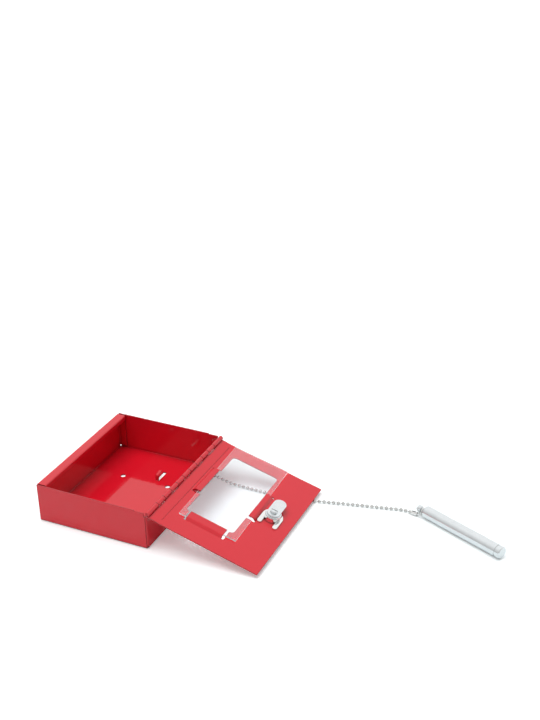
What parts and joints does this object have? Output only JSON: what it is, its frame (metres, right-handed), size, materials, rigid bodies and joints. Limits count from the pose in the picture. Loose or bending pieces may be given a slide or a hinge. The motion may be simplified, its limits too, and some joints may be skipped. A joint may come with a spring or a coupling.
{
  "type": "emergency key box",
  "caption": "Shallow folded sheet-metal key box with a hinged door, a breakable window pane held by tabs, a cam lock and a striker on a bead chain.",
  "frame": {"origin": "centre of the outer face of the box's back, which is the face that meets the wall", "axes": "+Z out of the box through its mouth, +X towards the hinged side, +Y towards the top of the box as it hangs on a wall"},
  "size_m": [0.4241, 0.1577, 0.0403],
  "materials": {
    "red_paint": "gloss powder coat",
    "pane_clear": "clear, polished",
    "nickel": "bright nickel plate",
    "zinc": "bright zinc plate",
    "brass": "stamped",
    "pin_steel": "drawn wire"
  },
  "bodies": {
    "case": {"tray": "red_paint", "hinge_pin": "red_paint", "chain_eyelet": "nickel", "chain_stop": "nickel", "bead_chain": "nickel", "chain_connector": "nickel", "striker_ring": "nickel", "striker_rod": "zinc"},
    "door": {"door_panel": "red_paint", "window_pane": "pane_clear", "lock_housing": "nickel", "lock_clip": "nickel"},
    "lock_cam": {"lock_plug": "nickel", "wafer_1": "brass", "wafer_2": "brass", "wafer_3": "brass", "wafer_4": "brass", "wafer_springs": "pin_steel", "stop_washer": "zinc", "cam": "zinc", "cam_washer": "zinc", "cam_screw": "zinc"}
  },
  "joints": [
    {"name": "door_hinge", "type": "hinge", "parent": "case", "child": "door", "pos_m": [0.0613, 0, 0.038], "axis": [0, -1, 0], "range_deg": [0, 195.9]},
    {"name": "lock_turn", "type": "hinge", "parent": "door", "child": "lock_cam", "pos_m": [0.15045, 0.0033, 0.01041], "axis": [-0.2741, 0, -0.9617], "range_deg": [0, 90]}
  ]
}
